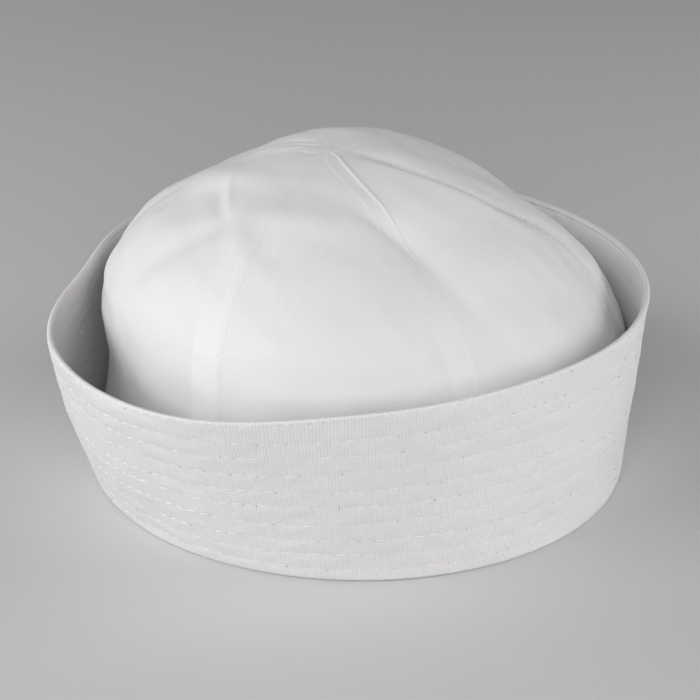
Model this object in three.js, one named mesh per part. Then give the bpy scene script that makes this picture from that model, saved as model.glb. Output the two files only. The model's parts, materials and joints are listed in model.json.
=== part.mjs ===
// Sailor cap: a soft crown of six cloth gores, and a wide stitched brim turned up all round it.
//
// Millimetres, +Z up. The cap rests on the folded lower edge of its brim, which lies on z = 0.
// Azimuths are in degrees, counterclockwise seen from above: 0 is +X, and 270 is the front, -Y.
// "up" is the share of the way along the crown's cloth, from its lower edge (0) to its top (1).

import * as THREE from 'three';

// The oval that the brim's lower fold makes, to its outer side.
const HALF_WIDTH = 94;
const HALF_LENGTH = 98.7;
const STEPS_AROUND = 60;

// Cloth.
const BRIM_PLY = 1.0;
const CROWN_WALL = 1.2;
const GAP = 0.3;

// Brim. Slant lengths are measured up its slope, from the surface that the cap rests on.
const BRIM_SLANT = 70.7;
const BRIM_SLANT_STEPS = 4;
const FOLD_BEVEL = 0.8;
const RIM_TURN = 1.0;
const HEM_HEIGHT = 10;

// How the brim stands at each azimuth: spread is how far its fold lies outside the oval,
// lean is its slope from upright in degrees, and belly is how far its middle swells outwards.
const BRIM_STANCE = [
  { azimuth: 0, spread: 0, lean: 5.4, belly: 0 },
  { azimuth: 30, spread: 0, lean: 3.6, belly: 0 },
  { azimuth: 60, spread: 0, lean: 4.5, belly: 0 },
  { azimuth: 90, spread: 0, lean: 6.0, belly: 0 },
  { azimuth: 120, spread: 0, lean: 5.5, belly: 0 },
  { azimuth: 150, spread: 0, lean: 4.0, belly: 1.0 },
  { azimuth: 180, spread: 1.5, lean: 2.0, belly: 3.5 },
  { azimuth: 210, spread: 0, lean: 19.8, belly: 3.0 },
  { azimuth: 240, spread: 0, lean: 24.2, belly: 0.6 },
  { azimuth: 270, spread: 0, lean: 15.6, belly: 0 },
  { azimuth: 300, spread: 0, lean: 9.6, belly: 0 },
  { azimuth: 330, spread: 0, lean: 7.8, belly: 0 },
];

// Crown.
const GORES = 6;
const FIRST_SEAM = 356.5;
const GORE_ROWS = 15;
const GORE_TIP_UP = 0.994;
const TOP_SHIFT = new THREE.Vector2(-11.2, 2.3);
const PUFF = 2.5;

// The crown's height, and its reach as a share of the oval, on the way up.
const CROWN_PROFILE = [
  { up: 0.0, reach: 1.0, height: 1.3 },
  { up: 0.18, reach: 1.0, height: 29 },
  { up: 0.34, reach: 0.985, height: 56.5 },
  { up: 0.44, reach: 0.965, height: 67.8 },
  { up: 0.54, reach: 0.912, height: 79.8 },
  { up: 0.66, reach: 0.735, height: 95.8 },
  { up: 0.76, reach: 0.515, height: 105.2 },
  { up: 0.83, reach: 0.36, height: 109.8 },
  { up: 0.89, reach: 0.235, height: 112.6 },
  { up: 0.94, reach: 0.13, height: 114 },
  { up: 1.0, reach: 0.0, height: 114.7 },
];

// How the crown's shoulder slumps at each azimuth: sag lowers it and pull draws it inwards.
const CROWN_SHOULDER = [
  { azimuth: 0, sag: 7, pull: 2.5 },
  { azimuth: 30, sag: 8, pull: 4 },
  { azimuth: 60, sag: 0, pull: 2.3 },
  { azimuth: 90, sag: -0.8, pull: 0.9 },
  { azimuth: 120, sag: 4.5, pull: 1.2 },
  { azimuth: 150, sag: 5.5, pull: 0 },
  { azimuth: 180, sag: 1.6, pull: -1.2 },
  { azimuth: 210, sag: 1.8, pull: -1.6 },
  { azimuth: 240, sag: 1.8, pull: -1.4 },
  { azimuth: 270, sag: 5.6, pull: 1.2 },
  { azimuth: 300, sag: 11, pull: 4.2 },
  { azimuth: 330, sag: 9, pull: 3.6 },
];
const SHOULDER_FROM = 0.25;
const SHOULDER_TO = 0.97;

// Folds and dents pressed into the crown, each along a curve through three places [azimuth, up].
// A depth below zero raises the cloth instead.
const CREASES = [
  // The front-right fold, the left shoulder's fold and the valley beside the right-hand seam.
  { from: [276, 0.81], via: [297, 0.75], to: [304, 0.6], halfWidth: 6, depth: 1.6 },
  { from: [223, 0.76], via: [218, 0.69], to: [207, 0.59], halfWidth: 5.5, depth: 1.2 },
  { from: [350, 0.97], via: [353, 0.8], to: [360, 0.58], halfWidth: 4.2, depth: 1.9 },
  // The left wall's dent, the right wall's bulge, the raised back and left side of the top.
  { from: [172, 0.22], via: [194, 0.25], to: [216, 0.28], halfWidth: 15, depth: 4.2 },
  { from: [344, 0.26], via: [2, 0.27], to: [20, 0.28], halfWidth: 10.5, depth: -4.1 },
  { from: [70, 0.875], via: [120, 0.89], to: [175, 0.865], halfWidth: 9.5, depth: -2.3 },
  { from: [170, 0.72], via: [192, 0.795], to: [225, 0.845], halfWidth: 8, depth: -1.7 },
  // The edge where the flat top turns down to the front, and the slack behind the right seam.
  { from: [216, 0.78], via: [252, 0.77], to: [286, 0.8], halfWidth: 8.5, depth: -1.5 },
  { from: [355, 0.95], via: [361, 0.8], to: [364, 0.64], halfWidth: 8, depth: 1.4 },
];
const CREASE_SAMPLES = 24;

const CROWN_INSET = 2 * (BRIM_PLY + GAP);

const crownCloth = { color: 0xf2f2f0, roughness: 0.92, metalness: 0 };
const brimCloth = { color: 0xe9e9e7, roughness: 0.95, metalness: 0 };

// The value of one column of a table whose rows are evenly spaced round the cap.
function roundTable(rows, column, azimuth) {
  const spacing = 360 / rows.length;
  const place = (((azimuth % 360) + 360) % 360) / spacing;
  const index = Math.floor(place);
  const at = (shift) => rows[(index + shift + rows.length) % rows.length][column];
  return catmullRom(at(-1), at(0), at(1), at(2), place - index);
}

function catmullRom(before, start, end, after, share) {
  const square = share * share;
  const cube = square * share;
  return 0.5 * (2 * start + (end - before) * share
    + (2 * before - 5 * start + 4 * end - after) * square
    + (3 * start - before - 3 * end + after) * cube);
}

// The value of one column of the crown's profile: a smooth curve through unevenly spaced rows.
function profileValue(column, up) {
  const last = CROWN_PROFILE.length - 1;
  const share = Math.min(Math.max(up, 0), 1);
  let index = 0;
  while (index < last - 1 && CROWN_PROFILE[index + 1].up <= share) index += 1;
  const slope = (k) => (CROWN_PROFILE[k + 1][column] - CROWN_PROFILE[k][column])
    / (CROWN_PROFILE[k + 1].up - CROWN_PROFILE[k].up);
  const tangent = (k) => {
    if (k === 0) return slope(0);
    if (k === last) return slope(last - 1);
    const below = CROWN_PROFILE[k].up - CROWN_PROFILE[k - 1].up;
    const above = CROWN_PROFILE[k + 1].up - CROWN_PROFILE[k].up;
    return (slope(k - 1) * above + slope(k) * below) / (below + above);
  };
  const start = CROWN_PROFILE[index];
  const end = CROWN_PROFILE[index + 1];
  const span = end.up - start.up;
  const t = (share - start.up) / span;
  return (2 * t ** 3 - 3 * t ** 2 + 1) * start[column]
    + (t ** 3 - 2 * t ** 2 + t) * span * tangent(index)
    + (3 * t ** 2 - 2 * t ** 3) * end[column]
    + (t ** 3 - t ** 2) * span * tangent(index + 1);
}

// A point of the head oval, moved in by inset, and the oval's outward normal there.
function ovalPlace(azimuth, inset) {
  const angle = THREE.MathUtils.degToRad(azimuth);
  const outward = new THREE.Vector2(HALF_LENGTH * Math.cos(angle), HALF_WIDTH * Math.sin(angle));
  outward.normalize();
  const point = new THREE.Vector2(HALF_WIDTH * Math.cos(angle), HALF_LENGTH * Math.sin(angle));
  point.addScaledVector(outward, -inset);
  return { point, outward };
}

// A point of the brim: inset from its outer side, and slant up its slope.
function brimPoint(azimuth, inset, slant) {
  const { point, outward } = ovalPlace(azimuth, inset);
  const lean = THREE.MathUtils.degToRad(roundTable(BRIM_STANCE, 'lean', azimuth));
  const share = slant / BRIM_SLANT;
  const swell = roundTable(BRIM_STANCE, 'belly', azimuth) * 4 * share * (1 - share);
  const spread = roundTable(BRIM_STANCE, 'spread', azimuth);
  point.addScaledVector(outward, slant * Math.sin(lean) + swell + spread);
  return new THREE.Vector3(point.x, point.y, slant * Math.cos(lean));
}

// A point of the hem inside the crown, which stands upright.
function hemPoint(azimuth, inset, height) {
  const { point } = ovalPlace(azimuth, inset);
  return new THREE.Vector3(point.x, point.y, height);
}

// The crown's outer side before its folds.
function smoothCrownPoint(azimuth, up) {
  const { point, outward } = ovalPlace(azimuth, CROWN_INSET);
  const reach = profileValue('reach', up);
  const between = Math.abs(Math.sin(THREE.MathUtils.degToRad((azimuth - FIRST_SEAM) * GORES / 2)));
  const puff = PUFF * between * Math.sin(Math.PI * up) ** 1.5;
  const across = THREE.MathUtils.clamp((up - SHOULDER_FROM) / (SHOULDER_TO - SHOULDER_FROM), 0, 1);
  const slump = Math.sin(Math.PI * across) ** 2;
  const sag = roundTable(CROWN_SHOULDER, 'sag', azimuth) * slump;
  const pull = roundTable(CROWN_SHOULDER, 'pull', azimuth) * slump;
  point.multiplyScalar(reach);
  point.addScaledVector(TOP_SHIFT, 1 - reach);
  point.addScaledVector(outward, 0.8 * puff - pull);
  return new THREE.Vector3(point.x, point.y, profileValue('height', up) + 0.5 * puff - sag);
}

function crownNormal(azimuth, up) {
  const below = Math.max(up - 0.004, 0);
  const above = Math.min(up + 0.004, 0.996);
  const around = smoothCrownPoint(azimuth + 0.5, Math.min(up, 0.996))
    .sub(smoothCrownPoint(azimuth - 0.5, Math.min(up, 0.996)));
  const upward = smoothCrownPoint(azimuth, above).sub(smoothCrownPoint(azimuth, below));
  return around.cross(upward).normalize();
}

const creaseLines = CREASES.map((crease) => {
  const places = [crease.from, crease.via, crease.to];
  const curve = new THREE.CatmullRomCurve3(places.map(([azimuth, up]) => smoothCrownPoint(azimuth, up)));
  return { ...crease, points: curve.getPoints(CREASE_SAMPLES) };
});

// How far the folds press the crown in at one of its points. A fold fades out at its ends.
function creaseDepth(point) {
  let depth = 0;
  for (const line of creaseLines) {
    const shares = line.points.map((place, index) => {
      const fade = Math.sin((Math.PI * index) / (line.points.length - 1)) ** 0.7;
      return fade * Math.exp(-((place.distanceTo(point) / line.halfWidth) ** 2));
    });
    depth += line.depth * Math.max(...shares);
  }
  return depth;
}

// A point of the crown's cloth, inset from its outer side.
function crownPoint(azimuth, up, inset) {
  const point = smoothCrownPoint(azimuth, up);
  return point.addScaledVector(crownNormal(azimuth, up), -inset - creaseDepth(point));
}

function closedGeometry(points, faces) {
  const geometry = new THREE.BufferGeometry();
  geometry.setAttribute('position', new THREE.Float32BufferAttribute(points.flatMap((p) => p.toArray()), 3));
  geometry.setIndex(faces);
  geometry.computeVertexNormals();
  return geometry;
}

function addQuad(faces, a, b, c, d) {
  faces.push(a, b, c, a, c, d);
}

// A ring of cloth: a closed section, counterclockwise with the outside on its right, swept round.
// Each corner of the section is a function from azimuth to point. Quads on falling sides are split
// along the other diagonal, so that the two sides of a ply, and of a gap, stay parallel.
function ringGeometry(section) {
  const points = [];
  const faces = [];
  for (let step = 0; step < STEPS_AROUND; step += 1) {
    const azimuth = FIRST_SEAM + (step * 360) / STEPS_AROUND;
    const next = (step + 1) % STEPS_AROUND;
    section.forEach((corner, k) => {
      const along = (k + 1) % section.length;
      points.push(corner(azimuth));
      const quad = [
        step * section.length + k, next * section.length + k,
        next * section.length + along, step * section.length + along,
      ];
      const falls = section[along](azimuth).z < points[points.length - 1].z;
      addQuad(faces, ...(falls ? [...quad.slice(1), quad[0]] : quad));
    });
  }
  return closedGeometry(points, faces);
}

// One side of a ply from one slant to another, as a list of section corners.
function plySide(inset, fromSlant, toSlant) {
  const corners = [];
  for (let step = 0; step <= BRIM_SLANT_STEPS; step += 1) {
    const slant = THREE.MathUtils.lerp(fromSlant, toSlant, step / BRIM_SLANT_STEPS);
    corners.push((azimuth) => brimPoint(azimuth, inset, slant));
  }
  return corners;
}

// The outer ply: up the outside, over the rim, down behind, and under the cap to a short hem.
function outerPlyGeometry() {
  const innerSide = 2 * BRIM_PLY + GAP;
  const hemOuter = CROWN_INSET + CROWN_WALL + GAP;
  const hemInner = hemOuter + BRIM_PLY;
  const underRim = BRIM_SLANT - RIM_TURN;
  return ringGeometry([
    (azimuth) => brimPoint(azimuth, FOLD_BEVEL, 0),
    ...plySide(0, FOLD_BEVEL, BRIM_SLANT - FOLD_BEVEL),
    (azimuth) => brimPoint(azimuth, FOLD_BEVEL, BRIM_SLANT),
    (azimuth) => brimPoint(azimuth, innerSide - FOLD_BEVEL, BRIM_SLANT),
    (azimuth) => brimPoint(azimuth, innerSide, underRim),
    ...plySide(BRIM_PLY, underRim, BRIM_PLY),
    (azimuth) => hemPoint(azimuth, hemOuter, BRIM_PLY),
    (azimuth) => hemPoint(azimuth, hemOuter, HEM_HEIGHT),
    (azimuth) => hemPoint(azimuth, hemInner, HEM_HEIGHT),
    (azimuth) => hemPoint(azimuth, hemInner, FOLD_BEVEL),
    (azimuth) => hemPoint(azimuth, hemInner - FOLD_BEVEL, 0),
  ]);
}

// The inner ply: the brim's side towards the crown, tucked under the turned rim.
function innerPlyGeometry() {
  const low = BRIM_PLY + GAP;
  const high = BRIM_SLANT - RIM_TURN - GAP;
  return ringGeometry([
    ...plySide(BRIM_PLY + GAP, low, high),
    ...plySide(2 * BRIM_PLY + GAP, high, low),
  ]);
}

// One gore: a curved panel between two seams, with a small gap to its neighbours.
function goreGeometry(index) {
  const columns = STEPS_AROUND / GORES;
  const start = FIRST_SEAM + (index * 360) / GORES;
  const points = [];
  const faces = [];
  for (const inset of [0, CROWN_WALL]) {
    for (let row = 0; row <= GORE_ROWS; row += 1) {
      const up = (GORE_TIP_UP * row) / GORE_ROWS;
      const radius = 0.5 * (HALF_WIDTH + HALF_LENGTH) * profileValue('reach', up);
      const margin = THREE.MathUtils.radToDeg((0.5 * GAP) / radius);
      for (let column = 0; column <= columns; column += 1) {
        const azimuth = THREE.MathUtils.lerp(start + margin, start + 360 / GORES - margin, column / columns);
        points.push(crownPoint(azimuth, up, inset));
      }
    }
  }
  const side = (columns + 1) * (GORE_ROWS + 1);
  const at = (column, row) => row * (columns + 1) + column;
  for (let row = 0; row < GORE_ROWS; row += 1) {
    for (let column = 0; column < columns; column += 1) {
      const corners = [at(column, row), at(column + 1, row), at(column + 1, row + 1), at(column, row + 1)];
      addQuad(faces, ...corners);
      addQuad(faces, ...[0, 3, 2, 1].map((k) => corners[k] + side));
    }
    addQuad(faces, at(0, row), at(0, row + 1), at(0, row + 1) + side, at(0, row) + side);
    addQuad(faces, at(columns, row + 1), at(columns, row), at(columns, row) + side, at(columns, row + 1) + side);
  }
  for (let column = 0; column < columns; column += 1) {
    addQuad(faces, at(column + 1, 0), at(column, 0), at(column, 0) + side, at(column + 1, 0) + side);
    addQuad(faces, at(column, GORE_ROWS), at(column + 1, GORE_ROWS),
      at(column + 1, GORE_ROWS) + side, at(column, GORE_ROWS) + side);
  }
  return closedGeometry(points, faces);
}

function namedMesh(name, geometry, cloth) {
  const mesh = new THREE.Mesh(geometry, new THREE.MeshStandardMaterial(cloth));
  mesh.name = name;
  return mesh;
}

const pieces = new THREE.Group();
pieces.add(namedMesh('brim_outer_ply', outerPlyGeometry(), brimCloth));
pieces.add(namedMesh('brim_inner_ply', innerPlyGeometry(), brimCloth));
for (let index = 0; index < GORES; index += 1) {
  pieces.add(namedMesh(`crown_gore_${index + 1}`, goreGeometry(index), crownCloth));
}

// The brim leans further out at the front and left, so the pieces are moved to stand the middle
// of the whole cap's outline on the origin.
const middle = new THREE.Box3().setFromObject(pieces).getCenter(new THREE.Vector3());
pieces.position.set(-middle.x, -middle.y, 0);

const cap = new THREE.Group();
cap.name = 'sailor_cap';
cap.add(pieces);

export default cap;
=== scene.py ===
"""Sailor cap: a soft crown of six cotton gores inside a wide, row-stitched brim turned up all round.

Tables and shape functions are in millimetres, with azimuths in degrees, counterclockwise seen from
above: 0 is +X and 270 is the cap's front. "up" is the share of the way along the crown's cloth, from
its lower edge (0) to its top (1). Meshes are made in metres, with the brim's outline centred on the
origin and the cap's lower edge at height 0.
"""

import json
import math
from collections import namedtuple

import bpy
import numpy as np
from mathutils import Matrix, Vector

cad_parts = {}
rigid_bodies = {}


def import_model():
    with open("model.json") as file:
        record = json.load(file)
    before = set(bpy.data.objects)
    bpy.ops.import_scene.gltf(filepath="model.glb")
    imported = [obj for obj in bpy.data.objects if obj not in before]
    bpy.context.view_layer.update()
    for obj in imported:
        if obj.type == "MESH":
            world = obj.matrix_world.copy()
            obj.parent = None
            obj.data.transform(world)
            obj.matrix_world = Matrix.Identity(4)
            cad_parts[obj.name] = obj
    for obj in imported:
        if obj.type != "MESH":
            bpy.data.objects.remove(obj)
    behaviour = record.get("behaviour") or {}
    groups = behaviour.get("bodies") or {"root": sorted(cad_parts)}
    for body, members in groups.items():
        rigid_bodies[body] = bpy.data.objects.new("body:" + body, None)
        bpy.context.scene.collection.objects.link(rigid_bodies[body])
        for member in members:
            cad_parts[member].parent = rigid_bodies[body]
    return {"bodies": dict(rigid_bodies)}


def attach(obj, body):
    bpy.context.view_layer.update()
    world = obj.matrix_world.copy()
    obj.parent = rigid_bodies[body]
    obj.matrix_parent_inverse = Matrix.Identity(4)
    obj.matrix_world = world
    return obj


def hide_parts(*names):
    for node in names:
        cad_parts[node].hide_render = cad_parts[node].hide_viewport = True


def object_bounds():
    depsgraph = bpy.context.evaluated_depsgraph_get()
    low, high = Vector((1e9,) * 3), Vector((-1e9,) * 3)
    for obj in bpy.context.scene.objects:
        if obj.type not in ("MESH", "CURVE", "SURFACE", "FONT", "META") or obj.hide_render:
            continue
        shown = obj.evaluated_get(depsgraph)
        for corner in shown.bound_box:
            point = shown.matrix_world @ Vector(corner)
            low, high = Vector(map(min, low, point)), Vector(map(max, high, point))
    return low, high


bl_info = {
    "name": "Sailor cap",
    "version": (1, 0, 0),
    "blender": (4, 5, 0),
    "location": "3D View > Sidebar > Sailor Cap",
    "description": "Builds a stitched cotton sailor cap, piece by piece",
    "category": "Object",
}

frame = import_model()
CAD_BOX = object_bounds()

MM = 0.001
BODY = next(iter(frame["bodies"]))

# The oval that the brim's lower fold makes, to its outer side.
HALF_WIDTH = 94.0
HALF_LENGTH = 98.7
MEAN_RADIUS = 0.5 * (HALF_WIDTH + HALF_LENGTH)
CAD_STEPS = 60

# Brim: two plies with a small gap, folded at the rim, and a hem turned up inside the cap.
BRIM_SLANT = 70.7
BRIM_PLY = 1.0
PLY_GAP = 0.3
BRIM_WALL = 2 * BRIM_PLY + PLY_GAP
FOLD_BEVEL = 0.8
FOLD_REACH = 1.0
FOLD_HEIGHT = 1.2
RIM_TUCK = 1.6
HEM_HEIGHT = 10.0
HEM_STANDOFF = 1.5
# How far the inner ply stops above the fold and below the rim.
INNER_LOW_EDGE = 1.5
INNER_HIGH_EDGE = 1.7

Stance = namedtuple("Stance", "azimuth spread lean belly")
BRIM_STANCE = [
    Stance(0, 0.0, 5.4, 0.0),
    Stance(30, 0.0, 3.6, 0.0),
    Stance(60, 0.0, 4.5, 0.0),
    Stance(90, 0.0, 6.0, 0.0),
    Stance(120, 0.0, 5.5, 0.0),
    Stance(150, 0.0, 4.0, 1.0),
    Stance(180, 1.5, 2.0, 3.5),
    Stance(210, 0.0, 19.8, 3.0),
    Stance(240, 0.0, 24.2, 0.6),
    Stance(270, 0.0, 15.6, 0.0),
    Stance(300, 0.0, 9.6, 0.0),
    Stance(330, 0.0, 7.8, 0.0),
]

# Crown.
GORES = 6
FIRST_SEAM = 356.5
GORE_ANGLE = 360.0 / GORES
CROWN_INSET = 2 * (BRIM_PLY + PLY_GAP)
CROWN_CLOTH = 0.8
TOP_SHIFT = (-11.2, 2.3)
PUFF = 2.5

Level = namedtuple("Level", "up reach height")
CROWN_PROFILE = [
    Level(0.00, 1.000, 1.3),
    Level(0.18, 1.000, 29.0),
    Level(0.34, 0.985, 56.5),
    Level(0.44, 0.965, 67.8),
    Level(0.54, 0.912, 79.8),
    Level(0.66, 0.735, 95.8),
    Level(0.76, 0.515, 105.2),
    Level(0.83, 0.360, 109.8),
    Level(0.89, 0.235, 112.6),
    Level(0.94, 0.130, 114.0),
    Level(1.00, 0.000, 114.7),
]

Slump = namedtuple("Slump", "azimuth sag pull")
CROWN_SHOULDER = [
    Slump(0, 7.0, 2.5),
    Slump(30, 8.0, 4.0),
    Slump(60, 0.0, 2.3),
    Slump(90, -0.8, 0.9),
    Slump(120, 4.5, 1.2),
    Slump(150, 5.5, 0.0),
    Slump(180, 1.6, -1.2),
    Slump(210, 1.8, -1.6),
    Slump(240, 1.8, -1.4),
    Slump(270, 5.6, 1.2),
    Slump(300, 11.0, 4.2),
    Slump(330, 9.0, 3.6),
]
SHOULDER_FROM = 0.25
SHOULDER_TO = 0.97

# Folds pressed into the crown along a curve through three places (azimuth, up). A depth below zero
# raises the cloth instead.
Crease = namedtuple("Crease", "start via end half_width depth")
CREASES = [
    # The front-right fold, the left shoulder's fold and the valley beside the right-hand seam.
    Crease((276, 0.81), (297, 0.75), (304, 0.60), 6.0, 1.6),
    Crease((223, 0.76), (218, 0.69), (207, 0.59), 5.5, 1.2),
    Crease((350, 0.97), (353, 0.80), (0, 0.58), 4.2, 1.9),
    # The left wall's dent, the right wall's bulge, the raised back and left side of the top.
    Crease((172, 0.22), (194, 0.25), (216, 0.28), 15.0, 4.2),
    Crease((344, 0.26), (2, 0.27), (20, 0.28), 10.5, -4.1),
    Crease((70, 0.875), (120, 0.89), (175, 0.865), 9.5, -2.3),
    Crease((170, 0.72), (192, 0.795), (225, 0.845), 8.0, -1.7),
    # The edge where the flat top turns down to the front, and the slack behind the right seam.
    Crease((216, 0.78), (252, 0.77), (286, 0.80), 8.5, -1.5),
    Crease((355, 0.95), (1, 0.80), (4, 0.64), 8.0, 1.4),
]
WRINKLES = [
    # A pucker down the left shoulder and the puffed cloth in front of it.
    Crease((194, 0.81), (211, 0.78), (223, 0.745), 1.5, -0.7),
    Crease((200, 0.78), (213, 0.757), (222, 0.735), 3.0, 0.5),
    Crease((228, 0.745), (233, 0.705), (239, 0.67), 4.5, -1.1),
    Crease((245, 0.71), (243, 0.68), (239, 0.645), 2.5, 0.4),
    # Short wrinkles beside the top, gathered by its seams.
    Crease((155, 0.905), (143, 0.935), (129, 0.955), 1.2, 0.45),
    Crease((168, 0.915), (156, 0.952), (144, 0.978), 1.2, 0.4),
    Crease((186, 0.94), (205, 0.96), (230, 0.978), 1.2, 0.35),
    Crease((178, 0.895), (172, 0.92), (163, 0.95), 1.6, -0.4),
    # The lip in front of the right seam's valley, and the sharper heart of the front-right fold.
    Crease((338, 0.93), (342, 0.80), (350, 0.62), 5.0, -0.9),
    Crease((281, 0.80), (297, 0.745), (305, 0.60), 3.4, 0.75),
    # A tuck low on the left wall.
    Crease((184, 0.44), (194, 0.435), (203, 0.43), 3.0, 0.8),
]
CREASE_SAMPLES = 24

# Felled seams between the gores: a lap that is wide and flat at the lower edge, narrow at the top.
Lap = namedtuple("Lap", "up width lift")
SEAM_LAP = [
    Lap(0.00, 11.5, 0.05),
    Lap(0.12, 11.5, 0.10),
    Lap(0.60, 10.5, 0.10),
    Lap(0.80, 6.5, 0.11),
    Lap(1.00, 4.5, 0.12),
]
LAP_STITCH_INSET = 1.3
LAP_EASE = 0.03
# The step up onto the lap begins LAP_STEP_START before it; its folded edge rolls down.
LAP_STEP_START = 1.9
LAP_STEP = 1.8
LAP_ROLL = 0.9
STITCH_GROOVE_WIDTH = 0.6
STITCH_GROOVE_DEPTH = 0.03
GORE_LENGTH = 165.0
# The doubled cloth is painted lighter up to here, painted light standing in for the light that the
# single cloth lets through; it fades out below over this share of the way.
SEAM_LIGHT_UP_TO = 0.72
SEAM_LIGHT_FADE = 0.25

# The front-right seam was sewn askew near the top, where its folded edge also stands up higher:
# how many degrees it drifts on the way up, and by how much more its edge is lifted.
Drift = namedtuple("Drift", "up degrees stand")
ASKEW_SEAM = 5
SEAM_DRIFT = [
    Drift(0.00, -2.0, 0.0),
    Drift(0.72, -2.0, 0.0),
    Drift(0.79, -3.5, 0.35),
    Drift(0.82, -5.5, 0.75),
    Drift(0.86, -10.0, 0.85),
    Drift(0.94, -18.0, 0.65),
    Drift(1.00, -20.0, 0.3),
]

# Stitch rows of the brim, as shares of its slant down from the rim, and how they pucker the cloth.
PUCKER_PITCH = 4.5
PUCKER_DEPTH = 0.15
PUCKER_WIDTH = 0.9
INNER_PUCKER_LIMIT = 0.3
BRIM_ROWS = [0.022, 0.138, 0.228, 0.333, 0.448, 0.535, 0.640, 0.748, 0.838, 0.925]


# ---------------------------------------------------------------------------------------------
# Shape functions
# ---------------------------------------------------------------------------------------------


def catmull_rom(before, start, end, after, share):
    """A smooth curve from start to end that heads on to after."""
    square = share * share
    cube = square * share
    return 0.5 * (
        2 * start
        + (end - before) * share
        + (2 * before - 5 * start + 4 * end - after) * square
        + (3 * start - before - 3 * end + after) * cube
    )


def round_table(rows, column, azimuth):
    """The value of one column of a table whose rows are evenly spaced round the cap."""
    values = np.array([getattr(row, column) for row in rows], float)
    place = np.mod(azimuth, 360.0) / 360.0 * len(values)
    index = np.floor(place).astype(int)
    near = [values[(index + shift) % len(values)] for shift in (-1, 0, 1, 2)]
    return catmull_rom(*near, place - index)


def profile_value(column, up):
    """The value of one column of the crown's profile: a smooth curve through uneven rows."""
    ups = np.array([row.up for row in CROWN_PROFILE])
    values = np.array([getattr(row, column) for row in CROWN_PROFILE])
    spans = np.diff(ups)
    slopes = np.diff(values) / spans
    inner = (slopes[:-1] * spans[1:] + slopes[1:] * spans[:-1]) / (spans[:-1] + spans[1:])
    tangents = np.concatenate([slopes[:1], inner, slopes[-1:]])
    share = np.clip(up, 0.0, 1.0)
    index = np.clip(np.searchsorted(ups, share, side="right") - 1, 0, len(ups) - 2)
    span = spans[index]
    t = (share - ups[index]) / span
    return (
        (2 * t**3 - 3 * t**2 + 1) * values[index]
        + (t**3 - 2 * t**2 + t) * span * tangents[index]
        + (3 * t**2 - 2 * t**3) * values[index + 1]
        + (t**3 - t**2) * span * tangents[index + 1]
    )


def oval_place(azimuth, inset):
    """x, y of the head oval moved in by inset, and its outward normal there."""
    angle = np.radians(azimuth)
    nx = HALF_LENGTH * np.cos(angle)
    ny = HALF_WIDTH * np.sin(angle)
    length = np.hypot(nx, ny)
    nx, ny = nx / length, ny / length
    return HALF_WIDTH * np.cos(angle) - inset * nx, HALF_LENGTH * np.sin(angle) - inset * ny, nx, ny


def brim_place(azimuth, inset, slant):
    """Points of the brim, inset from its outer side, and slant up its slope."""
    azimuth, inset, slant = np.broadcast_arrays(azimuth, inset, slant)
    x, y, nx, ny = oval_place(azimuth, inset)
    lean = np.radians(round_table(BRIM_STANCE, "lean", azimuth))
    share = slant / BRIM_SLANT
    out = slant * np.sin(lean) + round_table(BRIM_STANCE, "spread", azimuth)
    out = out + round_table(BRIM_STANCE, "belly", azimuth) * 4 * share * (1 - share)
    return np.stack([x + nx * out, y + ny * out, slant * np.cos(lean)], -1)


def middle_of_outline():
    """The middle of the brim's outline in plan, which is put on the origin."""
    azimuth = FIRST_SEAM + np.arange(CAD_STEPS) * 360.0 / CAD_STEPS
    rim = brim_place(azimuth, 0.0, BRIM_SLANT - FOLD_BEVEL)
    middle = 0.5 * (rim.min(0) + rim.max(0))
    middle[2] = 0.0
    return middle


MIDDLE = middle_of_outline()


def smooth_crown(azimuth, up):
    """The crown's outer side before its folds."""
    azimuth, up = np.broadcast_arrays(azimuth, up)
    x, y, nx, ny = oval_place(azimuth, CROWN_INSET)
    reach = profile_value("reach", up)
    between = np.abs(np.sin(np.radians((azimuth - FIRST_SEAM) * GORES / 2)))
    puff = PUFF * between * np.sin(np.pi * np.clip(up, 0, 1)) ** 1.5
    across = np.clip((up - SHOULDER_FROM) / (SHOULDER_TO - SHOULDER_FROM), 0, 1)
    slump = np.sin(np.pi * across) ** 2
    sag = round_table(CROWN_SHOULDER, "sag", azimuth) * slump
    out = 0.8 * puff - round_table(CROWN_SHOULDER, "pull", azimuth) * slump
    return np.stack(
        [
            x * reach + TOP_SHIFT[0] * (1 - reach) + nx * out,
            y * reach + TOP_SHIFT[1] * (1 - reach) + ny * out,
            profile_value("height", up) + 0.5 * puff - sag,
        ],
        -1,
    )


def crown_normals(azimuth, up):
    """Outward normals of the crown before its folds."""
    low = np.clip(up - 0.004, 0.0, 0.992)
    around = smooth_crown(azimuth + 0.5, low) - smooth_crown(azimuth - 0.5, low)
    along = smooth_crown(azimuth, low + 0.008) - smooth_crown(azimuth, low)
    normal = np.cross(around, along)
    return normal / np.linalg.norm(normal, axis=-1, keepdims=True)


def crease_points(crease):
    """Points along a crease's curve: a parabola through its three places."""
    start, via, end = (smooth_crown(*place) for place in (crease.start, crease.via, crease.end))
    share = np.linspace(0, 1, CREASE_SAMPLES)[:, None]
    return (
        start * (1 - share) * (1 - 2 * share)
        + via * 4 * share * (1 - share)
        + end * share * (2 * share - 1)
    )


def press_of_creases(points):
    """How far the folds and wrinkles press the crown in at some of its points.

    A fold is deepest halfway along and fades out at its ends."""
    press = np.zeros(points.shape[:-1])
    fade = np.sin(np.pi * np.linspace(0, 1, CREASE_SAMPLES)) ** 0.7
    for crease in CREASES + WRINKLES:
        share = np.zeros(press.shape)
        for place, strength in zip(crease_points(crease), fade):
            away = ((points - place) ** 2).sum(-1) / crease.half_width**2
            share = np.maximum(share, strength * np.exp(-away))
        press += crease.depth * share
    return press


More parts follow.
